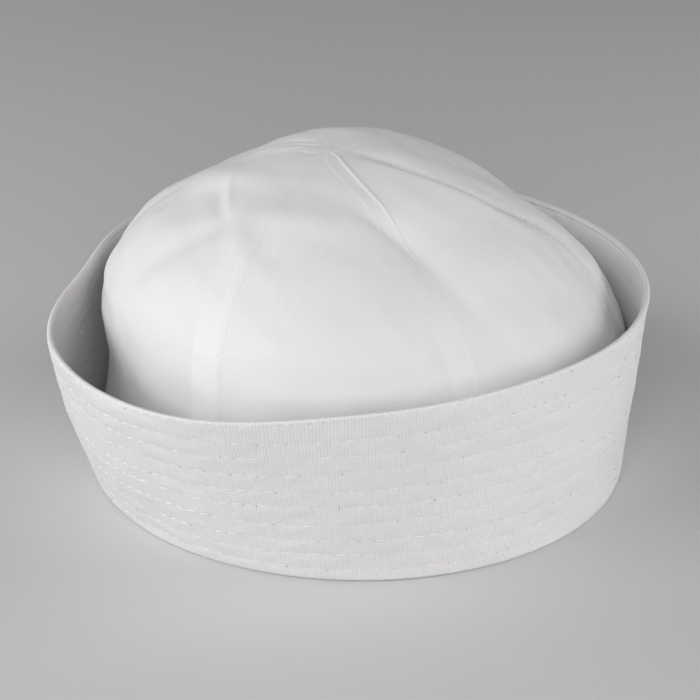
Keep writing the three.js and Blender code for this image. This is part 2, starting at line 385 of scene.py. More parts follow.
def ripples(points, wavelength, seed):
    """A soft irregular swell between about -1 and 1, the same at each run."""
    rng = np.random.default_rng(seed)
    swell = np.zeros(points.shape[:-1])
    waves = 7
    for _ in range(waves):
        direction = rng.normal(size=3)
        direction /= np.linalg.norm(direction)
        turn = 2 * np.pi / (wavelength * rng.uniform(0.7, 1.6))
        swell += np.sin(points @ direction * turn + rng.uniform(0, 2 * np.pi))
    return swell / math.sqrt(waves)


def between_rows(rows, column, up):
    """The value of one column of a table whose rows run up the crown."""
    return np.interp(up, [row.up for row in rows], [getattr(row, column) for row in rows])


def seam_azimuth(index, up):
    """The azimuth of one seam's middle on the way up."""
    azimuth = FIRST_SEAM + index * GORE_ANGLE + np.zeros(np.shape(up))
    if index % GORES == ASKEW_SEAM:
        azimuth = azimuth + between_rows(SEAM_DRIFT, "degrees", up)
    return azimuth


def crown_radius(up):
    """The crown's radius on the way up, on average round the cap."""
    return np.maximum(MEAN_RADIUS * profile_value("reach", up), 0.02)


def lap_width(up):
    """The seam lap's width, which fits between its neighbours near the top."""
    room = crown_radius(up) * math.radians(GORE_ANGLE)
    return np.minimum(between_rows(SEAM_LAP, "width", up), 0.6 * room)


def crown_cloth(azimuth, up, lift):
    """Points of the crown's cloth, lifted from its outer side."""
    points = smooth_crown(azimuth, up)
    normals = crown_normals(azimuth, up)
    swell = 0.35 * ripples(points, 34.0, 5) + 0.12 * ripples(points, 11.0, 8)
    swell = swell * np.sin(np.pi * np.clip(up, 0, 1)) ** 0.5
    press = press_of_creases(points)
    return points + normals * (lift + swell - press)[..., None]


# ---------------------------------------------------------------------------------------------
# Mesh helpers
# ---------------------------------------------------------------------------------------------


def link(name, mesh):
    """A new object at the origin for a mesh, in the scene."""
    piece = bpy.data.objects.new(name, mesh)
    bpy.context.scene.collection.objects.link(piece)
    return piece


def mesh_from_arrays(name, points, faces, face_uvs):
    """A smooth mesh from points in millimetres, quads and a UV pair for each face corner."""
    mesh = bpy.data.meshes.new(name)
    mesh.vertices.add(len(points))
    mesh.vertices.foreach_set("co", ((points - MIDDLE) * MM).astype(np.float32).ravel())
    mesh.loops.add(faces.size)
    mesh.loops.foreach_set("vertex_index", faces.astype(np.int32).ravel())
    mesh.polygons.add(len(faces))
    mesh.polygons.foreach_set("loop_start", np.arange(0, faces.size, 4, dtype=np.int32))
    mesh.polygons.foreach_set("loop_total", np.full(len(faces), 4, np.int32))
    uv = mesh.uv_layers.new(name="Cloth")
    uv.data.foreach_set("uv", face_uvs.astype(np.float32).ravel())
    mesh.update(calc_edges=True)
    mesh.polygons.foreach_set("use_smooth", np.ones(len(faces), bool))
    mesh.validate()
    return mesh


def swept_ring(name, grid, around, along):
    """A closed ring from grid[column, corner] of points, with cloth lengths for its UV map."""
    columns, corners = grid.shape[:2]
    column, corner = np.meshgrid(np.arange(columns), np.arange(corners), indexing="ij")
    next_column = (column + 1) % columns
    next_corner = (corner + 1) % corners
    faces = np.stack(
        [
            column * corners + corner,
            next_column * corners + corner,
            next_column * corners + next_corner,
            column * corners + next_corner,
        ],
        -1,
    ).reshape(-1, 4)
    u = np.append(around, around[-1] + (around[1] - around[0]))
    v = np.append(along, along[-1])
    uvs = np.stack(
        [
            np.stack([u[column], v[corner]], -1),
            np.stack([u[column + 1], v[corner]], -1),
            np.stack([u[column + 1], v[corner + 1]], -1),
            np.stack([u[column], v[corner + 1]], -1),
        ],
        2,
    ).reshape(-1, 4, 2)
    return mesh_from_arrays(name, grid.reshape(-1, 3), faces, uvs)


def shell_of_grid(name, outer, inner, u, v):
    """A closed shell between two grids [row, column] of points, with cloth lengths as its UVs."""
    rows, columns = outer.shape[:2]
    side = rows * columns
    index = np.arange(side).reshape(rows, columns)

    def quads(a, b, c, d):
        return np.stack([a, b, c, d], -1).reshape(-1, 4)

    low_left, low_right = index[:-1, :-1], index[:-1, 1:]
    high_left, high_right = index[1:, :-1], index[1:, 1:]
    faces = [
        quads(low_left, low_right, high_right, high_left),
        quads(low_left, high_left, high_right, low_right) + side,
        quads(index[:-1, 0], index[1:, 0], index[1:, 0] + side, index[:-1, 0] + side),
        quads(index[1:, -1], index[:-1, -1], index[:-1, -1] + side, index[1:, -1] + side),
        quads(index[0, 1:], index[0, :-1], index[0, :-1] + side, index[0, 1:] + side),
        quads(index[-1, :-1], index[-1, 1:], index[-1, 1:] + side, index[-1, :-1] + side),
    ]
    faces = np.concatenate(faces)
    places = np.stack([u, v], -1).reshape(-1, 2)
    places = np.concatenate([places, places])
    points = np.concatenate([outer.reshape(-1, 3), inner.reshape(-1, 3)])
    return mesh_from_arrays(name, points, faces, places[faces])


def finish_piece(piece, material, slot, *nodes):
    """Gives a piece its material and its body, and hides the model's parts that it stands for; slot
    is not used.
    """
    if material is not None:
        piece.data.materials.clear()
        piece.data.materials.append(material)
    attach(piece, BODY)
    if nodes:
        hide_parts(*nodes)


# ---------------------------------------------------------------------------------------------
# Materials
# ---------------------------------------------------------------------------------------------


def new_group(name, inputs, outputs):
    """An empty shader node group with named sockets."""
    group = bpy.data.node_groups.new(name, "ShaderNodeTree")
    for label, kind, value in inputs:
        socket = group.interface.new_socket(label, in_out="INPUT", socket_type=kind)
        if value is not None:
            socket.default_value = value
    for label, kind in outputs:
        group.interface.new_socket(label, in_out="OUTPUT", socket_type=kind)
    return group, group.nodes.new("NodeGroupInput"), group.nodes.new("NodeGroupOutput")


def feed(tree, socket, value):
    """Gives a node's input a plain value, or links another node's output to it."""
    if isinstance(value, bpy.types.NodeSocket):
        tree.links.new(value, socket)
    else:
        socket.default_value = value


def math_node(tree, operation, *operands):
    """A Math node whose operands are sockets or numbers; returns its output."""
    node = tree.nodes.new("ShaderNodeMath")
    node.operation = operation
    for socket, value in zip(node.inputs, operands):
        feed(tree, socket, value)
    return node.outputs[0]


def noise_node(tree, place, scale, detail):
    """A noise texture over some coordinates; returns its output."""
    node = tree.nodes.new("ShaderNodeTexNoise")
    feed(tree, node.inputs["Scale"], scale)
    feed(tree, node.inputs["Detail"], detail)
    feed(tree, node.inputs["Vector"], place)
    return node.outputs["Fac"]


def mix_node(tree, share, first, second):
    """A mix of two colours; returns its output."""
    node = tree.nodes.new("ShaderNodeMix")
    node.data_type = "RGBA"
    for label, value in (("Factor", share), ("A", first), ("B", second)):
        feed(tree, node.inputs[label], value)
    return node.outputs["Result"]


def new_material(name, **surface):
    """A material, its node tree and its shader, with settings of the shader by name."""
    material = bpy.data.materials.new(name)
    material.use_nodes = True
    shader = material.node_tree.nodes["Principled BSDF"]
    for label, value in surface.items():
        feed(material.node_tree, shader.inputs[label.replace("_", " ")], value)
    return material, material.node_tree, shader


def twill_group():
    """Ribbed twill: Height for a bump, and Groove, a mask of the furrows between the ribs, where the
    cotton is painted darker as painted shade.
    """
    value = "NodeSocketFloat"
    group, given, result = new_group(
        "RibbedTwill",
        [
            ("Place", "NodeSocketVector", None),
            ("Rib Pitch", value, 0.93),
            ("Rib Depth", value, 1.0),
            ("Twill Pitch", value, 0.85),
            ("Twill Depth", value, 0.3),
            ("Wander", value, 0.2),
        ],
        [("Height", value), ("Groove", value)],
    )
    place = given.outputs["Place"]

    def number(operation, *operands):
        return math_node(group, operation, *operands)

    split = group.nodes.new("ShaderNodeSeparateXYZ")
    feed(group, split.inputs[0], place)
    wander = number("SUBTRACT", noise_node(group, place, 0.22, 2.0), 0.5)
    drift = number("MULTIPLY", wander, given.outputs["Wander"])
    across = number("ADD", split.outputs["X"], drift)
    turns = number("DIVIDE", across, given.outputs["Rib Pitch"])
    rib = number("SINE", number("MULTIPLY", turns, 2 * math.pi))
    slanted = number("ADD", number("MULTIPLY", across, 0.45), split.outputs["Y"])
    twill_turns = number("DIVIDE", slanted, given.outputs["Twill Pitch"])
    twill = number("SINE", number("MULTIPLY", twill_turns, 2 * math.pi))
    rib_height = number("MULTIPLY", rib, given.outputs["Rib Depth"])
    twill_height = number("MULTIPLY", twill, given.outputs["Twill Depth"])
    slub = number("SUBTRACT", noise_node(group, place, 2.6, 3.0), 0.5)
    stretch = group.nodes.new("ShaderNodeVectorMath")
    stretch.operation = "MULTIPLY"
    feed(group, stretch.inputs[0], place)
    feed(group, stretch.inputs[1], (1.0, 0.35, 1.0))
    yarn = noise_node(group, stretch.outputs[0], 0.9, 1.0)
    uneven = number("MULTIPLY_ADD", yarn, 2.4, slub)
    height = number("ADD", number("ADD", rib_height, twill_height), uneven)
    feed(group, result.inputs["Height"], height)
    groove = number("MULTIPLY", number("MULTIPLY_ADD", rib, -0.5, 0.5), given.outputs["Rib Depth"])
    feed(group, result.inputs["Groove"], number("POWER", groove, 2.0))
    return group


# Painted light: the colour that the doubled seam bands are painted towards, and by how much.
SEAM_PAINTED_LIGHT_COLOUR = (0.92, 0.91, 0.915, 1.0)
SEAM_PAINTED_LIGHT_SHARE = 0.36


def cloth_material(name, colour, furrow_shade_colour, twill, rib_pitch, rib_depth, bump, mottle):
    """Matt white cotton with ribs, a fine twill, slubs, a faint unevenness of tone and painted shade
    in the furrows between the ribs.

    It is painted lighter, as painted light, where the doubled-plies attribute says that plies lie
    over each other."""
    material, tree, shader = new_material(
        name, Roughness=0.92, Specular_IOR_Level=0.25, Sheen_Weight=0.12, Sheen_Roughness=0.5)
    place = tree.nodes.new("ShaderNodeUVMap")
    place.uv_map = "Cloth"
    weave = tree.nodes.new("ShaderNodeGroup")
    weave.node_tree = twill
    feed(tree, weave.inputs["Rib Pitch"], rib_pitch)
    feed(tree, weave.inputs["Rib Depth"], rib_depth)
    feed(tree, weave.inputs["Place"], place.outputs["UV"])
    where = tree.nodes.new("ShaderNodeTexCoord")
    patch = noise_node(tree, where.outputs["Object"], 26.0, 4.0)
    uneven = math_node(tree, "MULTIPLY", patch, mottle)
    # Painted shade: the furrows between the ribs are painted darker, together with a random
    # unevenness of tone.
    furrow_shade_and_mottle = math_node(tree, "MULTIPLY_ADD", weave.outputs["Groove"], 0.55, uneven)
    shade = mix_node(tree, furrow_shade_and_mottle, colour, furrow_shade_colour)
    # Painted light: where plies lie doubled, the colour is mixed towards a lighter one.
    doubled_plies_painted_light = tree.nodes.new("ShaderNodeAttribute")
    doubled_plies_painted_light.attribute_name = "doubled_plies_painted_light"
    share = math_node(tree, "MULTIPLY", doubled_plies_painted_light.outputs["Fac"], SEAM_PAINTED_LIGHT_SHARE)
    feed(tree, shader.inputs["Base Color"], mix_node(tree, share, shade, SEAM_PAINTED_LIGHT_COLOUR))
    relief = tree.nodes.new("ShaderNodeBump")
    feed(tree, relief.inputs["Strength"], 1.0)
    feed(tree, relief.inputs["Distance"], bump * MM)
    feed(tree, relief.inputs["Height"], weave.outputs["Height"])
    feed(tree, shader.inputs["Normal"], relief.outputs["Normal"])
    return material


def plain_material(name, colour, roughness):
    """A matt finish of one colour with a little grain, for thread and for the painted shade of needle
    holes.
    """
    material, tree, shader = new_material(name, Roughness=roughness)
    where = tree.nodes.new("ShaderNodeTexCoord")
    grain = noise_node(tree, where.outputs["Object"], 900.0, 2.0)
    darker = [0.93 * part for part in colour[:3]] + [1.0]
    feed(tree, shader.inputs["Base Color"], mix_node(tree, grain, colour, darker))
    return material


def shared(name, make):
    """A material or node group by name, made the first time that it is asked for."""
    found = bpy.data.materials.get(name) or bpy.data.node_groups.get(name)
    return found or make()


# ---------------------------------------------------------------------------------------------
# Settings
# ---------------------------------------------------------------------------------------------


class ClothSettings(bpy.types.PropertyGroup):
    """Colours and weave of the cotton."""

    crown_colour: bpy.props.FloatVectorProperty(
        name="Crown Colour", description="Colour of the crown's cotton",
        subtype="COLOR", size=4, default=(0.803, 0.79, 0.796, 1.0))
    brim_colour: bpy.props.FloatVectorProperty(
        name="Brim Colour", description="Colour of the brim's cotton",
        subtype="COLOR", size=4, default=(0.833, 0.81, 0.826, 1.0))
    # Painted shade: the colour painted into the furrows between the ribs of the weave.
    furrow_shade_colour: bpy.props.FloatVectorProperty(
        name="Furrow Shade Colour", description="Colour down between the ribs of the weave",
        subtype="COLOR", size=4, default=(0.665, 0.65, 0.66, 1.0))
    thread_colour: bpy.props.FloatVectorProperty(
        name="Thread Colour", description="Colour of the sewing thread",
        subtype="COLOR", size=4, default=(0.815, 0.8, 0.81, 1.0))
    # Painted shade: the colour of the small dark marks that stand in for the shade in needle holes.
    hole_shade_colour: bpy.props.FloatVectorProperty(
        name="Hole Shade Colour", description="Colour down in the needle holes",
        subtype="COLOR", size=4, default=(0.45, 0.45, 0.45, 1.0))
    rib_pitch: bpy.props.FloatProperty(
        name="Rib Pitch", description="Distance between the ribs of the weave",
        default=0.00093, subtype="DISTANCE", unit="LENGTH")


class StitchSettings(bpy.types.PropertyGroup):
    """Sizes of the stitches."""

    pitch: bpy.props.FloatProperty(
        name="Pitch", description="Distance from one stitch to the next",
        default=0.0045, subtype="DISTANCE", unit="LENGTH")
    length: bpy.props.FloatProperty(
        name="Length", description="Length of thread that shows in one stitch",
        default=0.0035, subtype="DISTANCE", unit="LENGTH")
    thread: bpy.props.FloatProperty(
        name="Thread", description="Thickness of the thread",
        default=0.0004, subtype="DISTANCE", unit="LENGTH")
    hole: bpy.props.FloatProperty(
        name="Hole", description="Width of a needle hole between stitches",
        default=0.00034, subtype="DISTANCE", unit="LENGTH")
    seed: bpy.props.IntProperty(
        name="Seed", description="Seed of the stitches' small differences", default=3)


class StageSettings(bpy.types.PropertyGroup):
    """Floor, lights and camera."""

    floor_colour: bpy.props.FloatVectorProperty(
        name="Floor Colour", description="Colour of the floor",
        subtype="COLOR", size=4, default=(0.62, 0.62, 0.62, 1.0))
    elevation: bpy.props.FloatProperty(
        name="Elevation", description="How far the camera looks down",
        default=math.radians(23.09), subtype="ANGLE", unit="ROTATION")
    distance: bpy.props.FloatProperty(
        name="Distance", description="Distance from the camera to the cap",
        default=0.9297, subtype="DISTANCE", unit="LENGTH")


# ---------------------------------------------------------------------------------------------
# Pieces
# ---------------------------------------------------------------------------------------------


def brim_pinch(azimuth, slant):
    """How far the stitch rows draw the brim's faces in: deepest along each row, stitch by stitch."""
    pinch = np.zeros(np.broadcast(azimuth, slant).shape)
    stitches = np.radians(azimuth) * MEAN_RADIUS / PUCKER_PITCH
    for index in range(len(BRIM_ROWS)):
        away = slant - row_slant(index, azimuth)
        pucker = 1 + 0.4 * np.sin(2 * np.pi * stitches + 2.1 * index)
        pinch += PUCKER_DEPTH * pucker * np.exp(-((away / PUCKER_WIDTH) ** 2))
    return pinch


def row_slant(index, azimuth):
    """The slant of one stitch row of the brim, which wanders a little."""
    phase = 1.7 * index
    angle = np.radians(azimuth)
    wander = 0.35 * np.sin(3 * angle + phase) + 0.22 * np.sin(7 * angle + 2.3 * phase)
    return BRIM_SLANT * (1 - BRIM_ROWS[index]) + wander * (0.3 if index == 0 else 1.0)


def brim_relief(azimuth, slant):
    """Small unevenness of the brim's outer face: soft dents and the pull of the rows."""
    points = brim_place(azimuth, 0.0, slant)
    fade = np.clip(np.minimum(slant, BRIM_SLANT - slant) / 4.0, 0, 1)
    swell = 0.3 * ripples(points, 42.0, 12) + 0.1 * ripples(points, 9.0, 21)
    return swell * fade - brim_pinch(azimuth, slant)


def make_brim(columns=560, face_rows=118, inner_rows=84):
    """The outer and inner plies of the brim."""
    azimuth = np.arange(columns) * 360.0 / columns + 90.0
    around = azimuth / 360.0 * 2 * math.pi * MEAN_RADIUS
    radius = 0.5 * BRIM_WALL
    turn = np.radians(np.linspace(0, 180, 9))
    low_bend = np.radians(np.linspace(-90, 0, 6))
    face = np.linspace(FOLD_HEIGHT, BRIM_SLANT - radius, face_rows)
    # Corners of the outer ply's section: inset, slant, and whether the relief applies.
    section = [(FOLD_REACH * (1 - math.cos(a)), FOLD_HEIGHT * (1 + math.sin(a)), 0.0)
               for a in low_bend[:-1]]
    section += [(0.0, s, 1.0) for s in face]
    section += [(radius * (1 - math.cos(a)), BRIM_SLANT - radius + radius * math.sin(a), 0.0)
                for a in turn[1:]]
    section += [(BRIM_WALL, BRIM_SLANT - RIM_TUCK, 0.0), (BRIM_PLY, BRIM_SLANT - RIM_TUCK, 0.0)]
    section += [(BRIM_PLY, BRIM_SLANT * 0.5, 0.0), (BRIM_PLY, FOLD_HEIGHT, 0.0)]
    inset, slant, relief = (np.array(part) for part in zip(*section))
    slope = brim_place(azimuth[:, None], inset[None], slant[None])
    lift = relief[None] * brim_relief(azimuth[:, None], slant[None])
    normal = np.stack(oval_place(azimuth, 0.0)[2:] + (np.zeros(columns),), -1)
    slope = slope + normal[:, None] * lift[..., None]
    hem_inset = CROWN_INSET + HEM_STANDOFF
    hem = [(hem_inset, 1.0), (hem_inset, HEM_HEIGHT), (hem_inset + BRIM_PLY, HEM_HEIGHT),
           (hem_inset + BRIM_PLY, FOLD_BEVEL), (hem_inset + BRIM_PLY - FOLD_BEVEL, 0.0)]
    upright = []
    for hem_in, height in hem:
        x, y, _, _ = oval_place(azimuth, hem_in)
        upright.append(np.stack([x, y, np.full(columns, height)], -1))
    grid = np.concatenate([slope, np.stack(upright, 1)], 1)
    along = np.concatenate([slant, np.array([height for _, height in hem])])
    outer = link("brim_outer_cloth", swept_ring("brim_outer_cloth", grid, around, along))

    ends = (INNER_LOW_EDGE, BRIM_SLANT - INNER_HIGH_EDGE)
    face = np.linspace(*ends, inner_rows)
    section = [(BRIM_PLY + PLY_GAP, s, 0.0) for s in np.linspace(*ends, 4)]
    section += [(BRIM_WALL, s, 1.0) for s in face[::-1]]
    inset, slant, relief = (np.array(part) for part in zip(*section))
    slope = brim_place(azimuth[:, None], inset[None], slant[None])
    pinch = np.minimum(brim_pinch(azimuth[:, None], slant[None]), INNER_PUCKER_LIMIT)
    lift = relief[None] * pinch
    slope = slope + normal[:, None] * lift[..., None]
    inner = link("brim_inner_cloth", swept_ring("brim_inner_cloth", slope, around, slant))
    return outer, inner


def make_gore(index, rows=150):
    """One gore: under the lap of its neighbour at its start, and lapped over the next at its end."""
    up = np.linspace(0.0, 1.0, rows) ** 0.97
    radius = crown_radius(up)
    start = seam_azimuth(index, up)
    width = radius * np.radians(seam_azimuth(index + 1, up) - start)
    half = 0.5 * lap_width(up)
    band = np.concatenate([np.linspace(-1, 0.86, 20), [0.93, 0.97, 1.0]])
    under = np.linspace(-1, 1, 10)
    middle = np.linspace(0, 1, 66)[1:-1]
    across = np.concatenate(
        [
            half[:, None] * under[None],
            half[:, None] + (width - 2 * half)[:, None] * middle[None],
            width[:, None] + half[:, None] * band[None],
        ],
        1,
    )
    azimuth = start[:, None] + np.degrees(across / radius[:, None])
    ups = np.broadcast_to(up[:, None], azimuth.shape)
    from_lap = across - (width - half)[:, None]
    rise = np.clip((from_lap + LAP_STEP_START) / LAP_STEP, 0, 1)
    rise = rise * rise * (3 - 2 * rise)
    to_edge = (width + half)[:, None] - across
    roll = 1 - np.clip(to_edge / LAP_ROLL, 0, 1)
    stitch = sum(np.exp(-(((away - LAP_STITCH_INSET) / STITCH_GROOVE_WIDTH) ** 2))
                 for away in (to_edge, from_lap))
    high = between_rows(SEAM_LAP, "lift", ups)
    if (index + 1) % GORES == ASKEW_SEAM:
        edge = np.exp(-((np.maximum(to_edge - 0.4, 0) / 1.1) ** 2))
        high = high + between_rows(SEAM_DRIFT, "stand", ups) * (0.06 + 0.94 * edge)
    settle = np.clip((1 - ups) / 0.02, 0, 1)
    lift = high * (rise - 0.75 * roll**2) * settle
    lift -= STITCH_GROOVE_DEPTH * stitch * (rise > 0.5) * settle
    outer = crown_cloth(azimuth, ups, lift)
    ease = (LAP_EASE - 0.05 * (1 - settle)) * rise
    inner = crown_cloth(azimuth, ups, ease - CROWN_CLOTH * (1 - rise))
    v = np.broadcast_to(GORE_LENGTH * up[:, None], across.shape)
    u = across - 0.5 * width[:, None]
    name = f"crown_cloth_{index + 1}"
    mesh = shell_of_grid(name, outer, inner, u, v)
    # Where the plies lie doubled low on the crown, the cloth is painted lighter: real doubled plies,
    # and painted light.
    doubled_plies_painted_light = mesh.attributes.new("doubled_plies_painted_light", "FLOAT", "POINT")
    under_lap = across < half[:, None]
    low = np.clip((SEAM_LIGHT_UP_TO - ups) / SEAM_LIGHT_FADE, 0, 1)
    edge_fade = np.clip((to_edge + 0.4) / 2.4, 0, 1)
    shown = (np.maximum(rise * edge_fade, under_lap) * low).astype(np.float32).ravel()
    doubled_plies_painted_light.data.foreach_set("value", np.concatenate([shown, shown]))
    return link(name, mesh)


# ---------------------------------------------------------------------------------------------
# Stitching
# ---------------------------------------------------------------------------------------------


def input_id(tree, label):
    """The identifier of a tree's named input."""
    for item in tree.interface.items_tree:
        if item.item_type == "SOCKET" and item.in_out == "INPUT" and item.name == label:
            return item.identifier
    raise KeyError(label)


def stitch_tree():
    """Geometry nodes that lay bent stitches, or small dark marks of painted needle-hole shade between
    them, along rows of edges.
    """
    tree = bpy.data.node_groups.new("StitchRows", "GeometryNodeTree")
    socket = tree.interface.new_socket
    socket("Geometry", in_out="INPUT", socket_type="NodeSocketGeometry")
    for label in ("Pitch", "Length", "Thread", "Sink", "Share"):
        socket(label, in_out="INPUT", socket_type="NodeSocketFloat")
    socket("Seed", in_out="INPUT", socket_type="NodeSocketInt")
    socket("Material", in_out="INPUT", socket_type="NodeSocketMaterial")
    socket("Geometry", in_out="OUTPUT", socket_type="NodeSocketGeometry")
    nodes, links = tree.nodes, tree.links
    given = nodes.new("NodeGroupInput")
    result = nodes.new("NodeGroupOutput")

    def number(operation, first, second):
        return math_node(tree, operation, first, second)

    def vector(x, z):
        node = nodes.new("ShaderNodeCombineXYZ")
        feed(tree, node.inputs["X"], x)
        feed(tree, node.inputs["Z"], z)
        return node.outputs[0]

    half = number("MULTIPLY", given.outputs["Length"], 0.5)
    depth = number("MULTIPLY", given.outputs["Sink"], -1.0)
    bend = nodes.new("GeometryNodeCurveQuadraticBezier")
    bend.inputs["Resolution"].default_value = 5
    links.new(vector(number("MULTIPLY", half, -1.0), depth), bend.inputs["Start"])
    links.new(vector(0.0, given.outputs["Thread"]), bend.inputs["Middle"])
    links.new(vector(half, depth), bend.inputs["End"])
    ring = nodes.new("GeometryNodeCurvePrimitiveCircle")
    ring.inputs["Resolution"].default_value = 6
    links.new(number("MULTIPLY", given.outputs["Thread"], 0.5), ring.inputs["Radius"])
    stitch = nodes.new("GeometryNodeCurveToMesh")
    stitch.inputs["Fill Caps"].default_value = True
    links.new(bend.outputs[0], stitch.inputs["Curve"])
    links.new(ring.outputs[0], stitch.inputs["Profile Curve"])
    smooth = nodes.new("GeometryNodeSetShadeSmooth")
    links.new(stitch.outputs[0], smooth.inputs[0])

    rows = nodes.new("GeometryNodeMeshToCurve")
    links.new(given.outputs["Geometry"], rows.inputs["Mesh"])
    even = nodes.new("GeometryNodeResampleCurve")
    even.mode = "LENGTH"
    links.new(rows.outputs[0], even.inputs["Curve"])
    links.new(given.outputs["Pitch"], even.inputs["Length"])
    outward = nodes.new("GeometryNodeInputNamedAttribute")
    outward.data_type = "FLOAT_VECTOR"
    outward.inputs["Name"].default_value = "outward"
    tangent = nodes.new("GeometryNodeInputTangent")
    axes = nodes.new("FunctionNodeAxesToRotation")
    axes.primary_axis = "Z"
    axes.secondary_axis = "X"
    links.new(outward.outputs["Attribute"], axes.inputs["Primary Axis"])
    links.new(tangent.outputs[0], axes.inputs["Secondary Axis"])
    size = nodes.new("FunctionNodeRandomValue")
    size.data_type = "FLOAT"
    size.inputs[2].default_value = 0.6
    size.inputs[3].default_value = 1.08
    links.new(given.outputs["Seed"], size.inputs["Seed"])
    chance = nodes.new("FunctionNodeRandomValue")
    chance.data_type = "FLOAT"
    links.new(number("ADD", given.outputs["Seed"], 7.0), chance.inputs["Seed"])
    lay = nodes.new("GeometryNodeInstanceOnPoints")
    links.new(number("LESS_THAN", chance.outputs[1], given.outputs["Share"]), lay.inputs["Selection"])
    links.new(even.outputs[0], lay.inputs["Points"])
    links.new(smooth.outputs[0], lay.inputs["Instance"])
    links.new(axes.outputs[0], lay.inputs["Rotation"])
    links.new(size.outputs[1], lay.inputs["Scale"])
    real = nodes.new("GeometryNodeRealizeInstances")
    links.new(lay.outputs[0], real.inputs[0])
    paint = nodes.new("GeometryNodeSetMaterial")
    links.new(real.outputs[0], paint.inputs[0])
    links.new(given.outputs["Material"], paint.inputs["Material"])
    links.new(paint.outputs[0], result.inputs[0])
    return tree


def rows_mesh(name, rows):
    """A mesh of edge chains; each row is points in millimetres, outward normals, and if it closes."""
    mesh = bpy.data.meshes.new(name)
    points = np.concatenate([row[0] for row in rows])
    normals = np.concatenate([row[1] for row in rows])
    edges = []
    first = 0
    for row_points, _, closed in rows:
        count = len(row_points)
        ids = np.arange(count) + first
        edges += list(zip(ids[:-1].tolist(), ids[1:].tolist()))
        if closed:
            edges.append((int(ids[-1]), int(ids[0])))
        first += count
    mesh.from_pydata(((points - MIDDLE) * MM).tolist(), edges, [])
    outward = mesh.attributes.new("outward", "FLOAT_VECTOR", "POINT")
    outward.data.foreach_set("vector", normals.astype(np.float32).ravel())
    return mesh


def sew(name, rows, material, seed, pitch, length, thread, sink=0.25 * MM, share=1.0):
    """Sews stitches along rows and returns them as one plain mesh object."""
    tree = shared("StitchRows", stitch_tree)
    host = link(name + "_rows", rows_mesh(name, rows))
    modifier = host.modifiers.new("stitches", "NODES")
    modifier.node_group = tree
    values = {
        "Pitch": pitch,
        "Length": length,
        "Thread": thread,
        "Sink": sink,
        "Share": share,
        "Seed": seed,
        "Material": material,
    }
    for label, value in values.items():
        modifier[input_id(tree, label)] = value
    bpy.context.view_layer.update()
    shown = host.evaluated_get(bpy.context.evaluated_depsgraph_get())
    mesh = bpy.data.meshes.new_from_object(shown)
    mesh.name = name
    old = host.data
    bpy.data.objects.remove(host)
    bpy.data.meshes.remove(old)
    return link(name, mesh)


def brim_row(index, inset, facing, start=0.0):
    """One stitch row of the brim on its outer side (facing 1) or inner side (facing -1)."""
    azimuth = np.arange(0, 360, 1.5) + 7.3 * index + start
    slant = row_slant(index, azimuth)
    points = brim_place(azimuth, inset, slant)
    ahead = brim_place(azimuth + 0.2, inset, slant)
    above = brim_place(azimuth, inset, slant + 0.5)
    normal = np.cross(ahead - points, above - points)
    normal /= np.linalg.norm(normal, axis=-1, keepdims=True)
    if facing > 0:
        points = points + normal * (brim_relief(azimuth, slant)[:, None] + 0.02)
    else:
        points = points - normal * 0.02
    return points, normal * facing, True


def seam_row(index, edge):
    """One stitch row along a seam's lap: edge 1 near its folded edge, -1 near its other side."""
    up = np.linspace(0.03, 0.955, 160)
    offset = edge * (0.5 * lap_width(up) - LAP_STITCH_INSET)
    azimuth = seam_azimuth(index, up) + np.degrees(offset / crown_radius(up))
    points = crown_cloth(azimuth, up, between_rows(SEAM_LAP, "lift", up) - STITCH_GROOVE_DEPTH)
    return points, crown_normals(azimuth, up), False


# ---------------------------------------------------------------------------------------------
# Operators
# ---------------------------------------------------------------------------------------------


class SAILORCAP_OT_brim(bpy.types.Operator):
    """Makes the two plies of the turned-up brim"""

    bl_idname = "sailor_cap.brim"
    bl_label = "Brim"

    def execute(self, context):
        cloth = context.scene.sailor_cap_cloth
        twill = shared("RibbedTwill", twill_group)
        material = cloth_material(
            "brim_cotton", cloth.brim_colour, cloth.furrow_shade_colour, twill,
            cloth.rib_pitch / MM, 0.85, 0.055, 0.3)
        outer, inner = make_brim()
        finish_piece(outer, material, "brim_cloth", "brim_outer_ply")
        finish_piece(inner, material, "brim_cloth", "brim_inner_ply")
        return {"FINISHED"}


class SAILORCAP_OT_crown(bpy.types.Operator):
    """Makes the six gores of the crown, lapped at their seams"""

    bl_idname = "sailor_cap.crown"
    bl_label = "Crown"

    def execute(self, context):
        cloth = context.scene.sailor_cap_cloth
        twill = shared("RibbedTwill", twill_group)
        material = cloth_material(
            "crown_cotton", cloth.crown_colour, cloth.furrow_shade_colour, twill,
            cloth.rib_pitch / MM, 0.3, 0.022, 0.15)
        for index in range(GORES):
            gore = make_gore(index)
            finish_piece(gore, material, "crown_cloth", f"crown_gore_{index + 1}")
        return {"FINISHED"}


